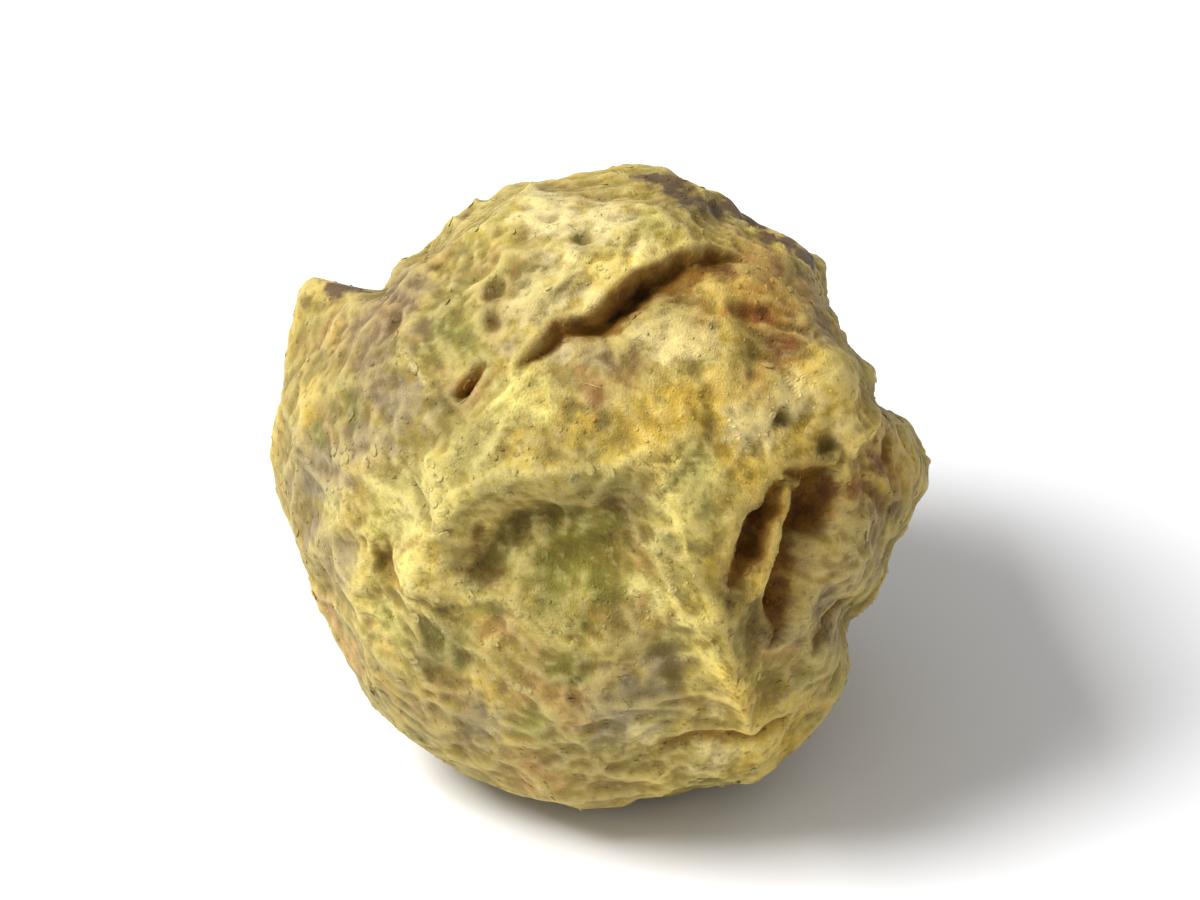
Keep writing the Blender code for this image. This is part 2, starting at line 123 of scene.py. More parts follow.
folds = {  # path, half width, height; where the height is negative, a soft groove
    "arch": (
        [(-0.56, -0.36), (-0.53, -0.22), (-0.46, -0.10), (-0.33, -0.01), (-0.16, 0.03), (0.0, 0.05), (0.12, 0.04),
         (0.20, -0.02)],
        0.075, 0.075,
    ),
    "rightRidge": (
        [(0.20, 0.06), (0.22, -0.08), (0.26, -0.24), (0.32, -0.38), (0.37, -0.53), (0.42, -0.67), (0.44, -0.78)],
        0.075, 0.085,
    ),
    "creamRidge": ([(-0.56, -0.02), (-0.48, 0.06), (-0.38, 0.18), (-0.28, 0.27), (-0.18, 0.35)], 0.06, 0.045),
    "dentWall": (
        [(-0.39, -0.35), (-0.385, -0.24), (-0.33, -0.165), (-0.22, -0.12), (-0.08, -0.095), (0.06, -0.09)],
        0.05, -0.036,
    ),
    "knobBrow": ([(0.54, 0.27), (0.63, 0.34), (0.74, 0.39), (0.82, 0.34)], 0.055, 0.022),
    "knobLip": ([(0.72, 0.09), (0.78, 0.14), (0.84, 0.22), (0.86, 0.30)], 0.034, 0.034),
    "ridgeEdge": (
        [(0.12, -0.20), (0.19, -0.30), (0.26, -0.40), (0.33, -0.51), (0.385, -0.61), (0.42, -0.71)],
        0.03, 0.046,
    ),
    "slotRidge": ([(0.565, 0.0), (0.54, -0.11), (0.51, -0.21), (0.475, -0.30), (0.44, -0.37)], 0.036, 0.046),
    "web": ([(0.66, 0.08), (0.72, 0.05), (0.755, 0.0), (0.77, -0.07)], 0.022, 0.024),
    "rimRidge": ([(0.80, 0.04), (0.86, 0.00), (0.90, -0.08), (0.90, -0.18)], 0.026, 0.022),
    "flapFoldLeft": ([(-0.24, 0.62), (-0.16, 0.56), (-0.10, 0.60), (-0.02, 0.66)], 0.03, 0.016),
    "flapFoldRight": ([(0.10, 0.88), (0.16, 0.78), (0.22, 0.74)], 0.03, 0.02),
    "paleFold": ([(-0.625, 0.44), (-0.595, 0.39), (-0.56, 0.335), (-0.53, 0.28)], 0.016, 0.018),
    "leftFold": ([(-0.62, -0.04), (-0.70, -0.14), (-0.74, -0.28), (-0.72, -0.40)], 0.044, 0.022),
    "chinFold": ([(-0.52, -0.42), (-0.38, -0.36), (-0.22, -0.40), (-0.06, -0.46)], 0.05, 0.024),
    "lipFold": ([(0.12, -0.86), (0.30, -0.81), (0.46, -0.78), (0.60, -0.72)], 0.034, 0.026),
    "skinEdge": ([(0.10, 0.975), (0.36, 0.89), (0.56, 0.77), (0.68, 0.66)], 0.035, 0.026),
}

crestTop = (0.2, 0.04)  # rounds a fold's top, and its square

clefts = {  # path from left to right with the half width below it, half width above, depth, shelf above, overhang
    "flapEdge": (
        [(-0.27, 0.32, 0.02), (-0.18, 0.40, 0.036), (-0.12, 0.457, 0.05), (-0.03, 0.479, 0.05), (0.04, 0.548, 0.064),
         (0.11, 0.607, 0.08), (0.21, 0.662, 0.076), (0.33, 0.70, 0.05), (0.45, 0.694, 0.024)],
        0.018, 0.07, 0.034, 0.02,
    ),
    "flapTail": ([(-0.465, 0.245, 0.014), (-0.42, 0.305, 0.018), (-0.365, 0.375, 0.014)], 0.016, 0.056, 0.01, 0.008),
    "plateauCrease": ([(-0.01, 0.47, 0.02), (0.01, 0.42, 0.02), (0.015, 0.36, 0.015)], 0.018, 0.016, 0.0, 0.0),
    "leftSlot": (
        [(0.545, 0.01, 0.014), (0.52, -0.06, 0.024), (0.483, -0.14, 0.028), (0.438, -0.23, 0.03),
         (0.388, -0.33, 0.026)],
        0.024, 0.092, 0.0, 0.0,
    ),
    "rightSlot": (
        [(0.53, -0.49, 0.025), (0.55, -0.37, 0.055), (0.57, -0.25, 0.055), (0.60, -0.13, 0.07), (0.60, -0.01, 0.045)],
        0.026, 0.105, 0.0, 0.0,
    ),
    "rightFork": (
        [(0.61, -0.22, 0.03), (0.645, -0.12, 0.06), (0.68, -0.03, 0.06), (0.71, 0.045, 0.03)],
        0.045, 0.08, 0.0, 0.0,
    ),
    "underLedge": (
        [(0.54, 0.02, 0.03), (0.61, 0.03, 0.05), (0.68, 0.04, 0.045), (0.73, 0.06, 0.02)],
        0.022, 0.06, 0.012, 0.01,
    ),
    "lobeGroove": (
        [(0.77, 0.03, 0.02), (0.805, -0.01, 0.028), (0.86, -0.06, 0.034), (0.93, -0.07, 0.026)],
        0.032, 0.017, 0.0, 0.0,
    ),
    "rimGroove": (
        [(0.86, 0.24, 0.02), (0.885, 0.16, 0.03), (0.89, 0.08, 0.036), (0.91, 0.02, 0.03)],
        0.034, 0.018, 0.0, 0.0,
    ),
    "lipCrease": (
        [(0.14, -0.79, 0.02), (0.25, -0.755, 0.03), (0.345, -0.725, 0.034), (0.45, -0.71, 0.03), (0.56, -0.67, 0.02)],
        0.03, 0.036, 0.0, 0.0,
    ),
    "notchCrease": (
        [(0.64, -0.52, 0.02), (0.69, -0.475, 0.036), (0.76, -0.43, 0.04), (0.82, -0.40, 0.03)],
        0.036, 0.046, 0.0, 0.0,
    ),
    "scarCrack": (
        [(0.50, 0.52, 0.02), (0.55, 0.495, 0.03), (0.60, 0.465, 0.03), (0.64, 0.44, 0.02)],
        0.024, 0.022, 0.0, 0.0,
    ),
    "cheekCrack": ([(-0.70, -0.31, 0.015), (-0.68, -0.24, 0.024), (-0.66, -0.16, 0.015)], 0.022, 0.018, 0.0, 0.0),
}

cleftEdge = {  # in half widths above the cleft, where nothing else is said
    "powers": (2.6, 2.0),  # how steep the sides above and below are
    "waver": 0.9,  # how far the rim wavers
    "comeAndGo": (2.2, 0.2, 1.3),  # change of a shallow cleft's strength along it, least and most strength
    "firm": (0.10, 0.15),  # in radii, how deep a cleft keeps its strength, but for this share of the change
    "change": 0.5,  # how much the noise changes the width below, and the depth
    "shelf": (0.22, 0.35),  # in radii, how far from the cleft it dies away, and how soft its edge is
    "curl": (0.25, 1.8, 0.6),  # height in shelves, place and width of the edge that curls up
    "hang": (1.2, 1.3),  # where the skin hangs over most, and over what width
    "dark": (0.08, 1.7, 0.95),  # in radii, how deep a cleft is fully dark; reach of the dark above and below. The dark is the clefts' brown together with painted shade, darker in deeper clefts and reaching up under the rims.
}

pits = {  # place, radius, depth
    "flapHigh": ((-0.058, 0.737), 0.034, 0.034),
    "flapLeft": ((-0.32, 0.576), 0.034, 0.04),
    "flapLow": ((-0.33, 0.478), 0.026, 0.028),
    "knob": ((0.532, 0.196), 0.024, 0.05),
    "knobCrack": ((0.676, 0.11), 0.03, 0.034),
    "scar": ((0.465, 0.522), 0.034, 0.012),
    "dentLeft": ((-0.355, -0.285), 0.045, 0.026),
    "dentUpper": ((-0.275, -0.18), 0.04, 0.022),
    "plateauLeft": ((-0.10, 0.22), 0.03, 0.016),
    "plateauTop": ((0.462, 0.366), 0.034, 0.02),
    "plateauRight": ((0.328, 0.255), 0.034, 0.018),
    "plateauLow": ((0.338, 0.175), 0.034, 0.018),
    "brow": ((-0.655, 0.50), 0.034, 0.022),
    "chinLow": ((-0.42, -0.755), 0.032, 0.026),
    "chinLeft": ((-0.473, -0.39), 0.045, 0.024),
    "chinMiddle": ((-0.412, -0.527), 0.034, 0.018),
}

lumps = {  # place, radius and height, all in thousandths of the grain's radius
    "flap": [
        (-150, 600, 70, 22), (-215, 530, 55, 16), (20, 610, 55, 22), (-100, 670, 50, 14), (-200, 870, 90, 18),
        (40, 840, 80, 20), (200, 820, 70, 16), (-340, 780, 80, 14), (80, 740, 55, 16), (-270, 680, 50, 12),
    ],
    "plateau": [
        (100, 450, 65, 20), (-90, 425, 50, 18), (250, 470, 80, 16), (50, 270, 80, 14), (380, 300, 70, 14),
        (420, 450, 60, 14), (220, 200, 80, 12), (500, 250, 60, 16),
    ],
    "brow": [(450, 650, 70, 22), (580, 600, 70, 16), (660, 500, 60, 16), (550, 740, 80, 16)],
    "lobe": [
        (800, -120, 40, 20), (730, -190, 36, 18), (720, -270, 36, 16), (800, -210, 36, 18), (860, -280, 40, 18),
        (810, -340, 36, 18), (740, -360, 34, 16), (650, -340, 36, 16), (730, -100, 34, 14), (660, -260, 30, 12),
    ],
    "cheek": [(-750, 160, 90, 12), (-820, -100, 100, 12), (-620, 360, 60, 10), (-560, -440, 80, 16)],
}

beak = dict(angle=147.5, above=2.4, below=13, width=0.14, height=0.14, point=1.5)  # angle and reaches in degrees

stalk = dict(way=(0.60, 0.76, 0.16), radius=0.17, rimHeight=0.022, rimWidth=0.05, pitDepth=0.035, pitShare=0.6)

cells = {  # the dried skin's hollows between ridges, largest first
    "big": dict(count=30, seed=11, shake=0.30, width=0.15, rise=0.050, depth=0.078, wander=(0.24, 1.7), front=0.20),
    "small": dict(count=150, seed=5, shake=0.12, width=0.07, rise=0.022, depth=0.014, wander=(0.10, 3.4), front=0.50),
}

cellEdge = {
    "wobble": (0.055, 5.0),  # bends their borders a little
    "uneven": (0.75, 1.5),  # mean height of the ridges, and how much it changes
    "unevenNoise": (2.3, 21.0),
    "unevenLimits": (0.15, 1.3),
    "bowl": 1.5,  # the higher, the sooner a hollow deepens from its ridges
}

skin = {  # uneven drying
    "wander": (0.03, 4.5),  # how far, and on what scale, its features leave their places
    "wanderShifts": (3.1, 7.7, 12.9),  # of the noise for each axis
    "wrinkle": (0.02, 4.0),  # depth and scale
    "smallWrinkle": (0.6, 2.1, 5.0),  # depth and scale in those of the large ones, and the noise's shift
    "cleftNoise": ((13.0, 41.0), (6.0, 43.0)),  # scale and shift, along a cleft's rim and in its width
}


def unit(vectors):
    return vectors / np.linalg.norm(vectors, axis=-1, keepdims=True)


rightWay = np.array((1.0, 0.0, 0.0))
upWay = np.array((0.0, math.sin(view["tilt"]), math.cos(view["tilt"])))
nearWay = np.array((0.0, -math.cos(view["tilt"]), math.sin(view["tilt"])))


def seen(place):  # direction of the skin seen at this place
    across = place[0] - ball["middle"][0]
    up = (place[1] - ball["middle"][1]) / ball["shareUp"]
    near = math.sqrt(max(0.0, 1.0 - across * across - up * up))
    return unit(across * rightWay + up * upWay + near * nearWay)


def smoothPath(places):  # a Catmull-Rom curve over the ball
    steps = ball["pathSteps"]
    knots = np.array([seen(p) for p in places])
    knots = np.vstack((2 * knots[0] - knots[1], knots, 2 * knots[-1] - knots[-2]))
    points = []
    for before, start, end, after in zip(knots, knots[1:], knots[2:], knots[3:]):
        for t in np.arange(steps) / steps:
            bend = (2 * before - 5 * start + 4 * end - after) * t**2
            twist = (3 * start - before - 3 * end + after) * t**3
            points.append(0.5 * (2 * start + (end - before) * t + bend + twist))
    points.append(knots[-2])
    return unit(np.array(points))


def along(ways, path):  # signed distance, positive on the path's left, place along it, and the way to its left
    tangents = unit(np.gradient(path, axis=0))
    left = unit(np.cross(path, tangents))
    nearest = np.argmax(ways @ path.T, axis=1)
    offset = ways - path[nearest]
    side = np.einsum("ij,ij->i", offset, left[nearest])
    distance = np.linalg.norm(offset, axis=1)
    return distance * np.where(side < 0, -1.0, 1.0), nearest / (len(path) - 1), left[nearest]


def taper(place):
    return np.clip(np.sin(np.pi * np.clip(place, 0.0, 1.0)), 0.0, 1.0) ** ball["bluntEnds"]


def hill(distance, width):
    return np.exp(-((distance / width) ** 2))


def hillAt(ways, centre, width):  # a round hill on the ball
    return hill(np.linalg.norm(ways - centre, axis=1), width)


def crest(distance, width):  # a fold: a tight top with hollow flanks
    top, square = crestTop
    return np.exp(top - np.sqrt((distance / width) ** 2 + square))


def trough(distance, above, below):  # a cleft: a steep side above, an easier one below
    gap = np.abs(distance)
    steep, easy = cleftEdge["powers"]
    return np.where(distance > 0, np.exp(-((gap / above) ** steep)), np.exp(-((gap / below) ** easy)))


def shelf(distance, edge):  # a layer of skin that stands proud above a cleft and dies away
    reach, soft = cleftEdge["shelf"]
    return hill(np.maximum(distance, 0), reach) / (1 + np.exp(-(distance - edge) / (soft * edge)))


def noiseOf(points, scale, shift=0.0):
    offset = Vector((shift, shift * 1.7, -shift))
    return np.array([noise.noise(Vector(p) * scale + offset) for p in points])


def wander(ways, strength, scale):  # the same directions, each moved a little
    moved = np.column_stack([noiseOf(ways, scale, shift) for shift in skin["wanderShifts"]])
    return unit(ways + strength * moved)


def spreadCentres(count, seed, shake, leastSize=0.3):  # even directions, shaken, each with a size up to 1
    random = np.random.default_rng(seed)
    index = np.arange(count) + 0.5
    polar = np.arccos(1 - 2 * index / count)
    turn = math.pi * (1 + math.sqrt(5)) * index
    spread = np.column_stack((np.cos(turn) * np.sin(polar), np.sin(turn) * np.sin(polar), np.cos(polar)))
    return unit(spread + shake * random.normal(size=spread.shape)), random.uniform(leastSize, 1.0, count)


def treeOf(centres):
    tree = KDTree(len(centres))
    for index, centre in enumerate(centres):
        tree.insert(centre, index)
    tree.balance()
    return tree


def cellRelief(ways, kind, front):
    centres, depths = spreadCentres(kind["count"], kind["seed"], kind["shake"])
    tree = treeOf(centres)
    found = [tree.find_n(way, 2) for way in wander(wander(ways, *cellEdge["wobble"]), *kind["wander"])]
    border = np.array([f[1][2] - f[0][2] for f in found])
    ridge = crest(border, kind["width"])
    mean, change = cellEdge["uneven"]
    uneven = np.clip(mean + change * noiseOf(ways, *cellEdge["unevenNoise"]), *cellEdge["unevenLimits"])
    depth = kind["depth"] * depths[[f[0][1] for f in found]]
    height = kind["rise"] * ridge * uneven - depth * (1 - ridge) ** cellEdge["bowl"]
    return height * (1 - (1 - kind["front"]) * front)


def formRelief(ways):
    height = np.zeros(len(ways))
    for place, across, up, turn, rise in forms.values():
        centre = seen(place)
        east = unit(np.cross(upWay, centre))
        north = np.cross(centre, east)
        angle = math.radians(turn)
        x, y = ways @ east, ways @ north
        a = (x * math.cos(angle) + y * math.sin(angle)) / across
        b = (y * math.cos(angle) - x * math.sin(angle)) / up
        height += rise * np.exp(-(a**2 + b**2)) * (ways @ centre > 0)
    return height


def angleFrom(ways, angle):  # degrees round the outline from this angle, anticlockwise
    turn = np.degrees(np.arctan2(ways @ upWay, ways @ rightWay))
    return (turn - angle + 180) % 360 - 180


def rimRelief(ways):
    edge = hill(ways @ nearWay, ball["rimReach"])
    height = np.zeros(len(ways))
    for angle, width, rise in rim.values():
        height += rise * hill(angleFrom(ways, angle), width) * edge
    return height


def beakRelief(ways):
    gap = angleFrom(ways, beak["angle"])
    reach = np.where(gap < 0, beak["above"], beak["below"])
    side = np.sqrt((gap / reach) ** 2 + (ways @ nearWay / beak["width"]) ** 2)
    return beak["height"] * np.exp(-(side ** beak["point"]))


def gathered(ways):  # crowds the mesh towards the folds and clefts, so that they come out crisp
    strength, width = ball["gather"]
    for line in list(clefts.values()) + list(folds.values()):
        gap, place, left = along(ways, smoothPath(line[0]))
        ways = unit(ways - left * (gap * strength * hill(gap, width) * taper(place))[:, None])
    return ways


def addFolds(ways, height, marks):
    marks["fold"] = np.zeros(len(ways))
    for path, width, rise in folds.values():
        gap, place, _ = along(ways, smoothPath(path))
        profile = crest(gap, width) if rise > 0 else hill(gap, width)
        height += rise * profile * taper(place)
        if rise > 0:
            marks["fold"] = np.maximum(marks["fold"], hill(gap, 1.1 * width) * taper(place))


def addClefts(ways, height, marks):  # gives back how far the skin above each cleft is pushed over it
    edge = cleftEdge
    change, least, most = edge["comeAndGo"]
    firmDepth, frail = edge["firm"]
    curl, curlPlace, curlWidth = edge["curl"]
    hangPlace, hangWidth = edge["hang"]
    darkDepth, darkAbove, darkBelow = edge["dark"]
    push = np.zeros_like(ways)
    marks["cleft"] = np.zeros(len(ways))
    waver, uneven = (noiseOf(ways, scale, shift) for scale, shift in skin["cleftNoise"])
    for path, above, depth, raised, hang in clefts.values():
        gap, place, left = along(ways, smoothPath(path))
        gap = gap + edge["waver"] * above * waver
        strength = taper(place) * np.clip(1 + change * max(frail, 1 - depth / firmDepth) * uneven, least, most)
        below = np.interp(place, np.linspace(0, 1, len(path)), [p[2] for p in path])
        below = below * (1 + edge["change"] * uneven)
        height -= depth * strength * (1 - edge["change"] * waver) * trough(gap, above, below)
        height += raised * strength * shelf(gap, above)
        height += curl * raised * strength * hill(gap - curlPlace * above, curlWidth * above)
        push -= left * (hang * strength * hill(gap - hangPlace * above, hangWidth * above))[:, None]
        # the clefts' brown with painted shade: the deeper the cleft, the darker its mark
        shade = strength * min(1.0, depth / darkDepth)
        marks["cleft"] = np.maximum(marks["cleft"], shade * trough(gap, darkAbove * above, darkBelow * below))
    return push


def mainShape(ways, marks):  # the grain's form in shares of its radius; marks collects where things are
    bent = wander(ways, *skin["wander"])
    middle, softness = ball["frontEdge"]
    front = 1 / (1 + np.exp(-(ways @ nearWay - middle) / softness))
    height = sum(cellRelief(ways, kind, front) for kind in cells.values())
    height += formRelief(bent) + rimRelief(ways)
    addFolds(bent, height, marks)
    push = addClefts(bent, height, marks)
    for place, radius, depth in pits.values():
        height -= depth * hillAt(bent, seen(place), radius)
    for group in lumps.values():
        for *place, radius, rise in np.array(group) / 1000:
            height += rise * hillAt(bent, seen(place), radius)
    gap = np.linalg.norm(bent - unit(np.array(stalk["way"])), axis=1)
    height += stalk["rimHeight"] * hill(gap - stalk["radius"], stalk["rimWidth"])
    height -= stalk["pitDepth"] * hill(gap, stalk["pitShare"] * stalk["radius"])
    marks["stalk"] = hill(gap, stalk["radius"])
    depth, scale = skin["wrinkle"]
    share, finer, shift = skin["smallWrinkle"]
    height -= depth * np.abs(noiseOf(bent, scale)) + share * depth * np.abs(noiseOf(bent, finer * scale, shift))
    height += beakRelief(ways)
    reach, level = ball["calmUnder"]
    height += hillAt(ways, (0, 0, -1), reach) * (level - height)
    return ways * (1 + height)[:, None] + push, bent


def makeBall():
    bm = bmesh.new()
    bmesh.ops.create_cube(bm, size=2.0)
    bmesh.ops.subdivide_edges(bm, edges=bm.edges[:], cuts=ball["cuts"], use_grid_fill=True)
    ways = unit(np.tan(np.array([v.co for v in bm.verts]) * math.pi / 4))
    mesh = bpy.data.meshes.new("peppercornSkin")
    bm.to_mesh(mesh)
    bm.free()
    return mesh, ways


def setPoints(mesh, points):
    mesh.vertices.foreach_set("co", points.astype(np.float32).ravel())
    mesh.update()


def valuesOf(items, name, width, kind=np.float32):
    values = np.empty(len(items) * width, kind)
    items.foreach_get(name, values)
    return values.reshape(-1, width)


def normalsOf(mesh):
    return valuesOf(mesh.vertex_normals, "vector", 3).astype(float)


def smoothed(values, edges, rounds):
    size = len(values)
    counts = np.bincount(edges.ravel(), minlength=size)[:, None]
    for _ in range(rounds):
        total = np.zeros_like(values)
        for here, there in ((0, 1), (1, 0)):
            for axis in range(values.shape[1]):
                weights = values[edges[:, there], axis]
                total[:, axis] += np.bincount(edges[:, here], weights=weights, minlength=size)
        values = 0.5 * values + 0.5 * total / counts
    return values


fine = {  # detail that is only in the skin; heights in metres
    "nets": ((6.5, 0.000036), (13.0, 0.000022), (24.0, 0.000010)),  # scale and height of the thin ridges
    "netLevel": 0.2,  # how high the ridges reach over the skin, in their own height
    "netWander": (0.07, 5.0),
    "uneven": (0.30, 1.25),  # least and most of the net
    "unevenNoise": (1.7, 31.0),  # scale on which it comes and goes, and shift
    "unevenContrast": 1.2,
    "grains": ((22.0, 0.000007), (38.0, 0.000006)),  # scale and height of the roughness
    "roughPlaces": (  # place, radius, how much more of the net
        ((0.76, -0.26), 0.22, 1.3), ((-0.05, -0.62), 0.25, 0.5), ((0.55, 0.55), 0.18, 0.7), ((-0.80, 0.20), 0.2, 0.4),
    ),
    "pocks": dict(count=150, seed=8, shake=0.2, radius=(0.010, 0.024), depth=0.000020),
    "drawn": dict(rise=0.000026, across=26.0, lengthwise=3.0, reach=0.13, apart=3.7, least=0.04),
}


def drawnWrinkles(bent):  # wrinkles that run along the folds and clefts, in shares of their full height
    drawn = fine["drawn"]
    height = np.zeros(len(bent))
    for number, line in enumerate(list(folds.values()) + list(clefts.values())):
        path = smoothPath(line[0])
        gap, place, _ = along(bent, path)
        share = hill(gap, drawn["reach"]) * taper(place)
        close = np.flatnonzero(share > drawn["least"])
        length = np.linalg.norm(np.diff(path, axis=0), axis=1).sum()
        row = np.full(len(gap), drawn["apart"] * number)  # another part of the noise for each line
        spots = np.column_stack((gap * drawn["across"], place * length * drawn["lengthwise"], row))
        height[close] += share[close] * (fine["netLevel"] - np.abs(noiseOf(spots[close], 1.0)))
    return height


def fineRelief(ways, bent):  # metres along the skin's normal
    least, most = fine["uneven"]
    patchy = 0.5 + fine["unevenContrast"] * noiseOf(ways, *fine["unevenNoise"])
    share = least + (most - least) * np.clip(patchy, 0, 1)
    for place, radius, more in fine["roughPlaces"]:
        share = share + more * hillAt(ways, seen(place), radius)
    height = np.zeros(len(ways))
    netWays = wander(ways, *fine["netWander"])
    for scale, rise in fine["nets"]:
        height += rise * share * (fine["netLevel"] - np.abs(noiseOf(netWays, scale, scale)))
    for scale, rise in fine["grains"]:
        height += rise * noiseOf(bent, scale, scale)
    height += fine["drawn"]["rise"] * drawnWrinkles(netWays)
    pocks = fine["pocks"]
    centres, sizes = spreadCentres(pocks["count"], pocks["seed"], pocks["shake"])
    tree = treeOf(centres)
    found = [tree.find(way) for way in bent]
    low, high = pocks["radius"]
    radius = low + (high - low) * sizes[[f[1] for f in found]]
    height -= pocks["depth"] * hill(np.array([f[2] for f in found]), radius)
    return height


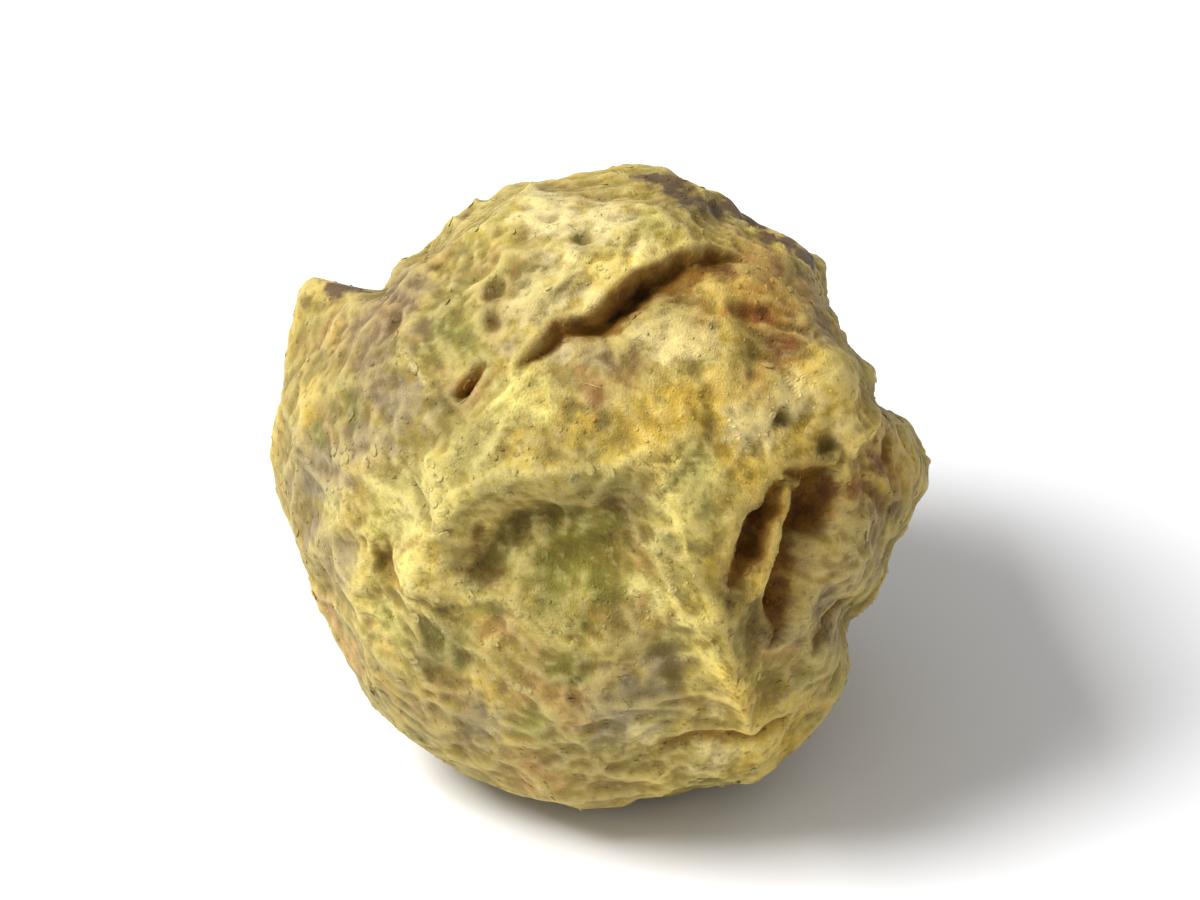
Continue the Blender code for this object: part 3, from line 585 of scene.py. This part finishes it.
patches = {  # colour mark: places and radii, all in thousandths of the grain's radius. Some marks paint light and shade into the colour.
    # pale cream skin, and painted highlights on the flap and the ridges
    "cream": [
        (-150, 600, 90), (-230, 540, 60), (-20, 630, 50), (-180, 880, 120), (0, 840, 90), (-100, 720, 80),
        (220, 460, 100), (330, 480, 60), (480, 200, 90), (790, 170, 60), (620, 290, 80), (110, 460, 50),
        (-90, 430, 50), (360, -830, 70), (150, -750, 40), (730, 370, 50), (500, -290, 50), (-600, 430, 22),
        (-570, 385, 22), (-545, 340, 22), (380, -660, 70), (430, -600, 50), (130, 720, 50),
    ],
    "lemon": [
        (-550, 20, 120), (-650, -10, 70), (-620, -100, 90), (-400, 140, 70), (-320, 210, 60), (-240, 300, 90),
        (300, 0, 110), (300, -120, 100), (300, 110, 70), (220, -40, 70), (330, -540, 80), (270, -420, 70),
        (200, -340, 60), (320, -620, 60), (-340, 30, 70), (-600, -240, 70), (-680, -400, 70), (200, -170, 60),
        (100, -260, 50), (-840, -40, 60),
    ],
    "yellow": [
        (300, 260, 120), (100, 210, 110), (-70, 200, 70), (-280, 80, 70), (-520, -210, 80), (240, -330, 50),
        (710, 320, 130), (800, 270, 90), (620, 170, 80), (950, 60, 100), (-910, 270, 70), (420, 100, 80),
        (550, -800, 160), (420, 200, 90), (340, -240, 60), (-150, 20, 80), (-800, 480, 80), (20, 120, 50),
        (-360, -620, 70), (-700, -620, 70),
    ],
    "green": [
        (-100, -220, 190), (-100, -360, 90), (-240, -240, 80), (50, -120, 60), (-490, 520, 110), (-400, 420, 70),
        (-780, 300, 70), (-640, -410, 60), (-500, -480, 90), (-100, -550, 80), (480, -570, 60), (-200, -720, 60),
        (140, 810, 75), (-700, -120, 50), (-360, -360, 60), (-320, 860, 50), (-220, 920, 50), (-420, 820, 40),
        (-860, 180, 50),
    ],
    "grey": [
        (-620, 260, 100), (-870, 60, 130), (-810, -240, 80), (200, -530, 60), (-900, -150, 80), (-380, -720, 100),
        (-750, 150, 100), (50, -680, 130), (-300, 450, 50),
    ],
    "tan": [
        (-320, -400, 90), (-790, -510, 80), (-110, -660, 100), (480, -200, 50), (20, 330, 100), (660, -210, 70),
        (-690, 560, 100), (-830, 490, 70), (-520, 730, 60), (-200, -910, 100), (-50, 430, 60), (480, 330, 60),
        (500, 680, 120), (-600, 550, 70), (580, -480, 50), (-860, -400, 80), (600, 570, 110), (550, 400, 70),
        (320, 560, 50), (-440, 300, 50),
    ],
    "rust": [
        (450, 555, 50), (390, 562, 30), (490, 556, 45), (585, 458, 34), (890, 90, 50), (905, 240, 40),
        (-680, 555, 28), (380, 700, 36), (560, 700, 34), (0, 290, 40), (-130, 490, 26), (800, -10, 50), (700, 0, 40),
    ],
    # dark olive dots, and painted shade along the dent's upper wall and under the lobe
    "olive": [
        (195, 491, 20), (455, 396, 24), (-58, 737, 36), (571, 216, 30), (700, 120, 34), (-418, -752, 44),
        (84, -141, 30), (-147, -82, 36), (-248, -90, 36), (-349, -254, 46), (-266, -147, 42), (-355, -145, 34),
        (462, 366, 24), (328, 255, 22), (338, 175, 26), (-473, -390, 40), (-100, 220, 24), (-412, -527, 30),
        (-680, -230, 30), (715, -440, 60), (920, -60, 50), (-500, 700, 28), (-900, 585, 32), (-955, 360, 32),
        (-950, 110, 24), (-930, -50, 20), (-60, 250, 20), (-520, -470, 40), (-520, -580, 26), (300, -720, 30),
    ],
    # brown skin, and painted shade in the slots, under the flap's rim, in the dent and on the knob's far side
    "brown": [
        (600, -100, 50), (570, -220, 40), (640, -20, 55), (490, -60, 35), (460, -140, 35), (420, -220, 35),
        (390, -310, 35), (545, -330, 45), (530, -420, 50), (680, -20, 50), (200, 620, 55), (290, 670, 45),
        (100, 570, 50), (-70, 510, 35), (10, 530, 35), (380, 700, 35), (880, 100, 60), (600, 460, 35), (540, 480, 30),
        (700, 30, 30), (800, 20, 50), (42, -35, 50), (900, 300, 34), (915, 230, 36), (915, 160, 36), (-350, -250, 45),
        (-355, -150, 40), (-500, 703, 30), (-200, 65, 30),
    ],
    # dark brown skin, and painted shade in the slots, the pits and under the flap's rim
    "umber": [
        (688, 0, 46), (672, -65, 42), (615, -45, 30), (600, -100, 30), (592, -160, 28), (575, -220, 26),
        (555, -290, 32), (549, -350, 34), (540, -400, 28), (537, -452, 32), (512, -55, 26), (490, -115, 32),
        (460, -190, 26), (397, -332, 32), (384, 706, 36), (320, 700, 28), (245, 684, 30), (180, 655, 26),
        (-70, 515, 30), (-115, 472, 26), (-334, 609, 34), (-334, 522, 28), (-656, 497, 32), (-395, 345, 24),
        (-420, 312, 26), (-440, 285, 22), (480, 556, 26), (910, -63, 30),
    ],
    # darker grey tan skin, and painted shade on the right lobe and the beak's root
    "dun": [
        (800, -200, 140), (700, -340, 90), (740, -100, 80), (660, -240, 70), (620, -450, 60), (740, -460, 80),
        (860, -60, 80), (880, -240, 80), (900, 200, 70), (680, 520, 90), (-740, 500, 130), (-620, 630, 130),
        (0, 430, 45), (565, -50, 30), (-700, 360, 90), (540, 472, 35), (600, 460, 40),
    ],
    "purple": [
        (120, 985, 40), (170, 973, 48), (220, 950, 52), (270, 926, 52), (320, 908, 48), (370, 900, 50),
        (420, 888, 55), (480, 855, 56), (540, 812, 56), (590, 775, 52), (640, 735, 52), (-820, 635, 45),
        (-750, 645, 45),
    ],
    "warm": [(600, -20, 170), (480, -270, 160), (500, 550, 260), (860, 60, 180), (420, -620, 160)],
    # painted shade: places whose colour is darkened by a grey factor
    "dim": [
        (-700, 400, 260), (-680, 580, 140), (-560, 710, 90), (-460, 260, 140), (-820, 200, 140), (20, 330, 120),
        (-300, 600, 80), (-100, 30, 130), (80, -10, 90), (-350, 20, 90), (-920, -100, 120), (-680, 620, 120),
        (440, 690, 70), (620, 680, 120), (580, 420, 80), (170, 530, 90), (60, 350, 140), (500, -420, 80),
        (-400, -700, 90), (-170, -370, 90), (100, -420, 70), (-240, 660, 80), (-640, 640, 170), (-900, 30, 130),
        (-100, 440, 90), (-190, 500, 50), (-380, -280, 60), (220, 900, 80), (-520, -460, 90), (-680, -600, 90),
        (-280, -360, 90), (200, -230, 70), (460, -420, 70), (940, 0, 100),
    ],
    # painted light: places whose colour is made lighter where the skin lies in shade
    "bright": [
        (300, 120, 120), (300, 0, 130), (310, -140, 120), (490, 200, 140), (620, 300, 130), (300, 80, 140),
        (760, 200, 120), (360, -600, 130), (470, -630, 130), (420, -790, 90), (420, 600, 70), (220, 410, 80),
        (-50, -210, 160), (210, 300, 90), (200, 120, 90), (400, 790, 80), (260, -460, 100), (80, 690, 80),
        (-680, -220, 100), (-650, -400, 110), (-380, -410, 60), (200, -900, 80), (-330, -90, 90), (390, -130, 70),
        (500, -290, 60), (-100, -500, 70), (240, -780, 90), (-200, 300, 70), (-300, -720, 90),
    ],
}

patchEdge = {
    "drift": ((0.045, 7.0), (0.025, 16.0)),  # how far, and on what scale, a patch wanders off its place
    "small": ("umber", "olive", "rust", "purple"),  # these stay closer to their places
    "smallShare": 0.3,
    "onSkin": (0.03, 0.01),  # how near a place the skin that shows there is looked for
    "depthShare": 0.45,  # how much less a patch reaches in depth than across
}

reliefMarks = (  # rounds of smoothing, then the marks above and below the smoothed skin, full at this many metres; the marks below darken the colour in hollows and nooks as painted shade
    (8, ("edge", 0.000006), ("nook", 0.000006)),
    (90, ("ridge", 0.000045), ("hollow", 0.000055)),
)


def viewPlaces(points):  # where each point is seen, and how near it is, in shares of the radius
    across, up, near = points @ rightWay, points @ upWay, points @ nearWay
    radius = (across.max() - across.min()) / view["grainWidth"]
    middle = (across.max() + across.min()) / 2, (up.max() + up.min()) / 2, (near.max() + near.min()) / 2
    places = np.column_stack((across - middle[0], up - middle[1] + view["grainRise"] * radius, near - middle[2]))
    places[:, :2] /= (1 - places[:, 2] / view["distance"])[:, None]  # nearer skin looks larger
    return places / radius


def patchMarks(points, ways, marks):  # ragged, wandering patches of each colour
    exact = viewPlaces(points)
    drift = np.zeros_like(exact)
    for strength, scale in patchEdge["drift"]:
        for axis in (0, 1):
            drift[:, axis] += strength * noiseOf(ways, scale, skin["wanderShifts"][axis])
    least, more = patchEdge["onSkin"]
    for name, places in patches.items():
        loose = exact + drift * (patchEdge["smallShare"] if name in patchEdge["small"] else 1.0)
        marks[name] = np.zeros(len(ways))
        for *place, radius in np.array(places) / 1000:
            gap = np.linalg.norm(loose[:, :2] - place, axis=1)
            close = np.flatnonzero(gap < max(least, gap.min() + more))
            depth = loose[:, 2] - loose[close, 2].max()  # from the skin that shows there
            marks[name] = np.maximum(marks[name], hill(np.hypot(gap, patchEdge["depthShare"] * depth), radius))


def newObject(name, data):
    thing = bpy.data.objects.new(name, data)
    bpy.context.scene.collection.objects.link(thing)
    return thing


def makeGrain():
    mesh, ways = makeBall()
    ways = gathered(ways)
    marks = {}
    shape, bent = mainShape(ways, marks)
    low, high = shape.min(axis=0), shape.max(axis=0)
    size = boxHigh - boxLow + (0, 0, ball["spotDepth"])
    points = (shape - (low + high) / 2) * size / (high - low) + boxMiddle
    points[:, 2] -= ball["spotDepth"] / 2
    setPoints(mesh, points)
    patchMarks(points, bent, marks)
    print("main shape done")
    calm = 1 - hillAt(ways, (0, 0, -1), ball["calmUnder"][0])
    points += normalsOf(mesh) * (fineRelief(ways, bent) * calm)[:, None]
    points[:, 2] = np.maximum(points[:, 2], 0)
    setPoints(mesh, points)
    mesh.shade_smooth()
    print("fine skin done")
    edges, normals = valuesOf(mesh.edges, "vertices", 2, np.int32), normalsOf(mesh)
    for rounds, (above, rise), (below, fall) in reliefMarks:
        proud = np.einsum("ij,ij->i", points - smoothed(points, edges, rounds), normals)
        marks[above], marks[below] = proud / rise, -proud / fall
    for name, values in marks.items():
        mark = mesh.attributes.new(name, "FLOAT", "POINT")
        mark.data.foreach_set("value", np.clip(values, 0, 1).astype(np.float32))
    print("marks done")
    return newObject("peppercorn_skin", mesh)


def nodeMaker(tree):  # short ways to add a node and a sum to a tree; they give back the outputs

    def put(kind, inputs=(), **settings):
        node = tree.nodes.new(kind)
        for key, value in settings.items():
            setattr(node, key, value)
        for key, value in dict(inputs).items():
            if isinstance(value, bpy.types.NodeSocket):
                tree.links.new(value, node.inputs[key])
            else:
                node.inputs[key].default_value = value
        return node.outputs

    def calc(operation, *values):
        return put("ShaderNodeMath", dict(enumerate(values)), operation=operation)[0]

    return put, calc


def newMaterial(name):
    material = bpy.data.materials.new(name)
    material.use_nodes = True
    return material, material.node_tree, material.node_tree.nodes["Principled BSDF"]


def finish(shader, values):
    for name, value in values.items():
        shader.inputs[name].default_value = value


skinLook = {  # a noise is its scale on millimetres, detail, roughness and distortion
    "base": (0.25, 0.185, 0.034),
    "layers": (  # from below: kind; noise or mark; limits of the noise or strength, fullness and tear; colour
        ("noise", (0.9, 4, 0.55, 0.4), 0.40, 0.60, (0.25, 0.215, 0.060)),  # grey green
        ("noise", (1.7, 4, 0.6, 0.6), 0.44, 0.66, 0, 0.65, (0.40, 0.245, 0.075)),  # tan
        ("noise", (3.1, 5, 0.6, 0.8), 0.42, 0.66, 0.05, 0.55, (0.54, 0.385, 0.066)),  # straw
        ("noise", (5.2, 4, 0.6, 0.5), 0.56, 0.72, 0, 0.45, (0.44, 0.215, 0.062)),  # reddish specks
        ("noise", (5.2, 4, 0.6, 0.5), 0.44, 0.28, 0, 0.45, (0.215, 0.215, 0.042)),  # green specks
        ("patch", "grey", 0.80, (0.34, 0.265, 0.145)),
        ("patch", "tan", 0.80, (0.48, 0.280, 0.080)),
        ("patch", "yellow", 0.85, (0.60, 0.400, 0.058)),
        ("patch", "lemon", 0.80, (0.64, 0.56, 0.185)),
        ("patch", "green", 0.85, (0.215, 0.198, 0.032)),
        # pale cream skin, and painted highlights on the flap and the ridges
        ("patch", "cream", 0.85, (0.70, 0.585, 0.285)),
        # darker grey tan skin, and painted shade on the right lobe and the beak's root
        ("patch", "dun", 0.80, (0.270, 0.185, 0.098)),
        # brown skin, and painted shade in the slots, under the flap's rim, in the dent and on the knob's far side
        ("patch", "brown", 0.85, (0.17, 0.070, 0.004)),
        ("mark", "ridge", 0.50, (0.62, 0.47, 0.095)),
        ("mark", "fold", 0.40, (0.60, 0.50, 0.115)),
        # painted shade in the hollows, with their greener skin
        ("mark", "hollow", 0.55, (0.100, 0.084, 0.006)),
        ("mark", "edge", 0.24, (0.75, 0.63, 0.32)),
        # painted shade in the nooks, with their browner skin
        ("mark", "nook", 0.38, (0.13, 0.073, 0.007)),
        ("noise", (13, 3, 0.55), 0.60, 0.74, 0, 0.25, (0.75, 0.63, 0.32)),  # pale flecks
        ("noise", (13, 3, 0.55), 0.42, 0.30, 0, 0.40, (0.12, 0.080, 0.022)),  # dark flecks
        ("patch", "rust", 0.88, 1.0, (0.225, 0.078, 0.012)),
        ("patch", "purple", 0.90, 0.62, 0.6, (0.082, 0.043, 0.024)),
        ("patch", "stalk", 0.80, (0.13, 0.065, 0.022)),
        ("shade", "warm", 0.80, (1.05, 0.90, 0.55)),
        # painted shade: darkens the colour at its places by a grey factor
        ("shade", "dim", 1.0, (0.70, 0.70, 0.73)),
        # painted light: lightens the colour at its places
        ("shade", "bright", 1.0, (1.34, 1.33, 1.22)),
        # the clefts' brown with painted shade, darkest where the cleft is deep
        ("cleft", "outer", 0.08, 0.50, 0, 0.9, (0.250, 0.110, 0.006)),
        ("cleft", "inner", 0.60, 1.05, (0.110, 0.038, 0.002)),
        # dark olive dots, and painted shade along the dent's upper wall and under the lobe
        ("patch", "olive", 0.78, 1.05, (0.092, 0.058, 0.002)),
        # dark brown skin, and painted shade in the slots, the pits and under the flap's rim
        ("patch", "umber", 0.90, 1.15, (0.085, 0.030, 0.002)),
    ),
    "torn": ((6, 5, 0.65), (0.3, 0.7, -2.4, 2.4)),  # breaks up the patches' rims
    "inCleft": ((7, 4, 0.6), (0.3, 0.7, 0.65, 1.3)),  # breaks up the dark of the clefts
    "lightDark": ((9, 6, 0.7), (0.3, 0.7, 0.78, 1.18)),  # the finest change, all over
    "bumps": ((24, 5, 0.65), (60, 3, 0.6)),
    "bump": {"Strength": 0.7, "Distance": 0.00002},
    "finish": {
        "Subsurface Weight": 0.28, "Subsurface Radius": (1.0, 0.72, 0.22), "Subsurface Scale": 0.00007,
        "Roughness": 0.58, "Specular IOR Level": 0.22,
        "Sheen Weight": 0.06, "Sheen Roughness": 0.45, "Sheen Tint": (1.0, 0.93, 0.62, 1),
    },
}


def skinMaterial():
    material, tree, shader = newMaterial("driedSkin")
    put, calc = nodeMaker(tree)
    place = put("ShaderNodeTexCoord")["Object"]
    inMm = put("ShaderNodeMapping", {"Vector": place, "Scale": (1000, 1000, 1000)})["Vector"]

    def mottle(scale, detail, rough, distortion=0.0):
        inputs = {"Vector": inMm, "Scale": scale, "Detail": detail, "Roughness": rough, "Distortion": distortion}
        return put("ShaderNodeTexNoise", inputs)["Fac"]

    def mark(name):
        return put("ShaderNodeAttribute", attribute_name=name)["Fac"]

    def span(value, low, high, toLow=0.0, toHigh=1.0):
        inputs = {"Value": value, "From Min": low, "From Max": high, "To Min": toLow, "To Max": toHigh}
        return put("ShaderNodeMapRange", inputs)["Result"]

    def blend(amount, *colours, how="MIX"):
        inputs = {"Factor": amount}
        for socket, colour in zip((6, 7), colours):
            inputs[socket] = colour if isinstance(colour, bpy.types.NodeSocket) else (*colour, 1)
        return put("ShaderNodeMix", inputs, data_type="RGBA", blend_type=how)[2]

    def cloud(kind, limits):
        return span(mottle(*kind), *limits)

    torn, broken, lightDark = (cloud(*skinLook[name]) for name in ("torn", "inCleft", "lightDark"))
    inCleft = calc("MULTIPLY", mark("cleft"), broken)

    def patch(name, strength, full=0.75, tear=1.0):  # a mark with its rim broken up by the skin's own mottling
        amount = mark(name)
        border = calc("MULTIPLY", calc("MULTIPLY", amount, tear), calc("SUBTRACT", 1.0, amount))
        return span(calc("MULTIPLY_ADD", border, torn, amount), 0.2, full, 0, strength)

    def cover(kind, source, *numbers):  # how much of a layer shows
        if kind == "noise":
            return cloud(source, numbers)
        if kind == "patch":
            return patch(source, *numbers)
        if kind == "cleft":
            return span(inCleft, *numbers)
        return calc("MULTIPLY", mark(source), *numbers)

    colour = skinLook["base"]
    for kind, source, *numbers, tone in skinLook["layers"]:
        if kind == "shade":
            tone = blend(1.0, colour, tone, how="MULTIPLY")
        colour = blend(cover(kind, source, *numbers), colour, tone)
    grey = put("ShaderNodeCombineColor", {"Red": lightDark, "Green": lightDark, "Blue": lightDark})["Color"]
    tree.links.new(blend(1.0, colour, grey, how="MULTIPLY"), shader.inputs["Base Color"])
    finish(shader, skinLook["finish"])
    heights = calc("ADD", *(mottle(*kind) for kind in skinLook["bumps"]))
    bump = put("ShaderNodeBump", {**skinLook["bump"], "Height": heights})["Normal"]
    tree.links.new(bump, shader.inputs["Normal"])
    return material


crumbs = {  # specks of dried skin that cling to it, most in its nooks; sizes in metres
    "inputs": {  # density to the square metre of skin; none below the last height
        "Density": 55e6, "Smallest": 0.000006, "Largest": 0.000018, "Flatness": 0.5, "Raggedness": 0.000008,
        "Clear Of Table": 0.00012, "Seed": 4,
    },
    "where": ("nook", 0.8, 0.45),  # the mark that they follow, how strongly, and the share of them elsewhere
    "longer": 1.8, "tilt": 0.5, "fineness": 1,
    "rough": 60000.0,  # scale of the noise that tears them
}

flakes = {  # thin scales of skin that lift from ridges and torn edges
    "inputs": {
        "Density": 16e6, "Smallest": 0.000016, "Largest": 0.000040, "Flatness": 0.14, "Raggedness": 0.000040,
        "Clear Of Table": 0.00025, "Seed": 9,
    },
    "where": ("edge", 1.2, 0.05),
    "longer": 1.7, "tilt": 0.30, "fineness": 2,
    "rough": 30000.0,
}

fibres = {  # fine pale fibres that lie on the skin
    "inputs": {"Thickness": 0.0000028, "Waver": 0.000060, "Waver Scale": 1500.0},
    "count": 16,
    "seed": 21,
    "lengths": (0.03, 0.09),
    "bow": 0.5,  # how far their middles stand off, in their lengths
    "lowest": -0.6,  # none starts lower on the ball
    "points": (12, 40),  # on the ball, and on the skin
    "sides": 6,
    "thinEnds": 0.25,
    "dark": (0.42, 0.32, 0.11, 1),
    "pale": (0.64, 0.54, 0.24, 1),
    "mottle": {"Scale": 2400.0, "Detail": 3.0},
    "mottleLimits": {"From Min": 0.38, "From Max": 0.62},
    "finish": {"Roughness": 0.6, "Specular IOR Level": 0.3},
}


def newTree(name, inputs):  # a geometry node tree with named inputs
    tree = bpy.data.node_groups.new(name, "GeometryNodeTree")
    tree.interface.new_socket("Geometry", in_out="INPUT", socket_type="NodeSocketGeometry")
    for label, value in inputs.items():
        kind = {int: "NodeSocketInt", float: "NodeSocketFloat"}.get(type(value), "NodeSocketObject")
        tree.interface.new_socket(label, in_out="INPUT", socket_type=kind)
    tree.interface.new_socket("Geometry", in_out="OUTPUT", socket_type="NodeSocketGeometry")
    return tree, tree.nodes.new("NodeGroupInput").outputs, *nodeMaker(tree)


def moved(put, geometry, scale, detail, reach):  # each point by noise, up to about half of reach
    ragged = put("ShaderNodeTexNoise", {"Scale": scale, "Detail": detail})["Color"]
    centred = put("ShaderNodeVectorMath", {0: ragged, 1: (0.5, 0.5, 0.5)}, operation="SUBTRACT")[0]
    offset = put("ShaderNodeVectorMath", {0: centred, "Scale": reach}, operation="SCALE")[0]
    return put("GeometryNodeSetPosition", {"Geometry": geometry, "Offset": offset})[0]


def finishTree(tree, put, geometry, material):  # every tree ends alike: real meshes, smooth, in their material
    real = put("GeometryNodeRealizeInstances", {0: geometry})[0]
    smooth = put("GeometryNodeSetShadeSmooth", {"Geometry": real})[0]
    coloured = put("GeometryNodeSetMaterial", {"Geometry": smooth, "Material": material})[0]
    tree.links.new(coloured, tree.nodes.new("NodeGroupOutput").inputs[0])


def grown(name, base, tree, values):  # runs the tree on a copy of base's mesh and returns the plain result
    source = newObject(name + "Source", base.data.copy())
    modifier = source.modifiers.new(name, "NODES")
    modifier.node_group = tree
    for socket in tree.interface.items_tree:
        if socket.in_out == "INPUT" and socket.name in values:
            modifier[socket.identifier] = values[socket.name]
    evaluated = source.evaluated_get(bpy.context.evaluated_depsgraph_get())
    mesh = bpy.data.meshes.new_from_object(evaluated)
    source.modifiers.remove(modifier)
    bpy.data.objects.remove(source, do_unlink=True)
    print(name, len(mesh.polygons), "faces")
    return newObject(name, mesh)


def scatterTree(name, bits, material):  # flattened, torn bits spread over the skin
    tree, entry, put, calc = newTree(name, bits["inputs"])

    def draw(low, high, seed):  # a random number for each bit
        return put("FunctionNodeRandomValue", {2: low, 3: high, "Seed": seed}, data_type="FLOAT")[1]

    mark, gain, least = bits["where"]
    up = put("ShaderNodeSeparateXYZ", {0: put("GeometryNodeInputPosition")[0]})["Z"]
    clear = calc("GREATER_THAN", up, entry["Clear Of Table"])
    where = put("GeometryNodeInputNamedAttribute", {"Name": mark}, data_type="FLOAT")["Attribute"]
    share = calc("MULTIPLY_ADD", where, gain, least)
    amount = calc("MULTIPLY", calc("MULTIPLY", entry["Density"], share), clear)
    inputs = {"Mesh": entry["Geometry"], "Density": amount, "Seed": entry["Seed"]}
    spread = put("GeometryNodeDistributePointsOnFaces", inputs)
    size = draw(entry["Smallest"], entry["Largest"], entry["Seed"])
    thin = calc("MULTIPLY", size, entry["Flatness"])
    long = calc("MULTIPLY", size, draw(1.0, bits["longer"], 3))
    scale = put("ShaderNodeCombineXYZ", {"X": long, "Y": size, "Z": thin})[0]
    turns = {"X": draw(-bits["tilt"], bits["tilt"], 2), "Z": draw(0.0, 2 * math.pi, 1)}
    twist = put("FunctionNodeEulerToRotation", {0: put("ShaderNodeCombineXYZ", turns)[0]})[0]
    inputs = {"Rotation": spread["Rotation"], "Rotate By": twist}
    rotation = put("FunctionNodeRotateRotation", inputs, rotation_space="LOCAL")[0]
    bit = put("GeometryNodeMeshIcoSphere", {"Radius": 1.0, "Subdivisions": bits["fineness"]})["Mesh"]
    inputs = {"Points": spread["Points"], "Instance": bit, "Rotation": rotation, "Scale": scale}
    placed = put("GeometryNodeInstanceOnPoints", inputs)[0]
    real = put("GeometryNodeRealizeInstances", {0: placed})[0]
    finishTree(tree, put, moved(put, real, bits["rough"], 2.0, entry["Raggedness"]), material)
    return tree


def fibrePaths():  # a mesh of open lines over the ball, one for each fibre
    random = np.random.default_rng(fibres["seed"])
    radius = (boxHigh[0] - boxLow[0]) / 2
    steps = np.linspace(-0.5, 0.5, fibres["points"][0])[:, None]
    points, edges = [], []
    for _ in range(fibres["count"]):
        start = unit(random.normal(size=3))
        if start[2] < fibres["lowest"]:
            start[2] *= -1
        way = unit(np.cross(start, random.normal(size=3)))
        length = random.uniform(*fibres["lengths"])
        bow = random.uniform(-fibres["bow"], fibres["bow"]) * length
        line = unit(start + length * steps * way + bow * (1 - 4 * steps**2) * np.cross(start, way))
        edges += [(len(points) + i, len(points) + i + 1) for i in range(len(line) - 1)]
        points += [tuple(boxMiddle + radius * point) for point in line]
    mesh = bpy.data.meshes.new("fibrePaths")
    mesh.from_pydata(points, edges, [])
    return bpy.data.objects.new("fibrePaths", mesh)


def fibreTree(values, material):
    tree, entry, put, calc = newTree("fibreNodes", values)
    curve = put("GeometryNodeMeshToCurve", {"Mesh": entry["Geometry"]})[0]
    curve = put("GeometryNodeResampleCurve", {"Curve": curve, "Count": fibres["points"][1]})[0]
    curve = moved(put, curve, entry["Waver Scale"], 0.0, entry["Waver"])
    skinMesh = put("GeometryNodeObjectInfo", {"Object": entry["Skin"]})["Geometry"]
    nearest = put("GeometryNodeProximity", {0: skinMesh}, target_element="FACES")["Position"]
    curve = put("GeometryNodeSetPosition", {"Geometry": curve, "Position": nearest})[0]
    place = put("GeometryNodeSplineParameter")["Factor"]
    thick = calc("SINE", calc("MULTIPLY", place, math.pi))
    thick = calc("MULTIPLY_ADD", thick, 1 - fibres["thinEnds"], fibres["thinEnds"])
    inputs = {"Resolution": fibres["sides"], "Radius": entry["Thickness"]}
    profile = put("GeometryNodeCurvePrimitiveCircle", inputs)[0]
    inputs = {"Curve": curve, "Profile Curve": profile, "Fill Caps": True, "Scale": thick}
    finishTree(tree, put, put("GeometryNodeCurveToMesh", inputs)[0], material)
    return tree


def fibreMaterial():  # two tones
    material, tree, shader = newMaterial("paleFibre")
    put, _ = nodeMaker(tree)
    place = put("ShaderNodeTexCoord")["Object"]
    tone = put("ShaderNodeTexNoise", {"Vector": place, **fibres["mottle"]})["Fac"]
    share = put("ShaderNodeMapRange", {"Value": tone, **fibres["mottleLimits"]})["Result"]
    mixed = put("ShaderNodeMix", {"Factor": share, 6: fibres["dark"], 7: fibres["pale"]}, data_type="RGBA")[2]
    tree.links.new(mixed, shader.inputs["Base Color"])
    finish(shader, fibres["finish"])
    return material


def makeBits(name, grain, bits):
    tree = scatterTree(name + "Nodes", bits, grain.data.materials[0])
    return grown(name, grain, tree, bits["inputs"])


def makeFibres(grain):
    values = {**fibres["inputs"], "Skin": grain}
    return grown("pale_fibres", fibrePaths(), fibreTree(values, fibreMaterial()), values)


studio = {  # metres
    "keyPower": 0.053,
    "keyWay": (-0.60, -0.14, 0.80),
    "keyDistance": 0.06,
    "keySize": 0.026,
    "skyLight": 0.48,
    "floorSize": 0.6,
    "floor": {"Base Color": (0.86, 0.86, 0.87, 1), "Roughness": 0.7},
}


def aim(thing, way):
    thing.rotation_euler = Vector(way).to_track_quat("-Z", "Y").to_euler()


def makeStudio():
    scene = bpy.context.scene
    middle = Vector(boxMiddle)
    camera = newObject("camera", bpy.data.cameras.new("camera"))
    camera.data.lens = view["lens"]
    camera.data.clip_start = 0.001
    camera.location = middle + Vector(nearWay) * view["distance"]
    aim(camera, -nearWay)
    scene.camera = camera
    light = newObject("key", bpy.data.lights.new("key", "AREA"))
    light.data.energy = studio["keyPower"]
    light.data.size = studio["keySize"]
    way = Vector(studio["keyWay"]).normalized()
    light.location = middle + way * studio["keyDistance"]
    aim(light, -way)
    world = bpy.data.worlds.new("paleSky")
    world.use_nodes = True
    finish(world.node_tree.nodes["Background"], {"Color": (1.0, 1.0, 1.0, 1), "Strength": studio["skyLight"]})
    scene.world = world
    scene.view_settings.view_transform = "Standard"
    bpy.ops.mesh.primitive_plane_add(size=studio["floorSize"])
    floor = bpy.context.object
    floor.name = "floor"
    material, _, shader = newMaterial("paleFloor")
    finish(shader, studio["floor"])
    floor.data.materials.append(material)


grain = makeGrain()
grain.data.materials.append(skinMaterial())
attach(grain, "root")
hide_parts("peppercorn")
for piece in (makeBits("skin_crumbs", grain, crumbs), makeBits("skin_flakes", grain, flakes), makeFibres(grain)):
    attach(piece, "root")
makeStudio()
print("studio done")
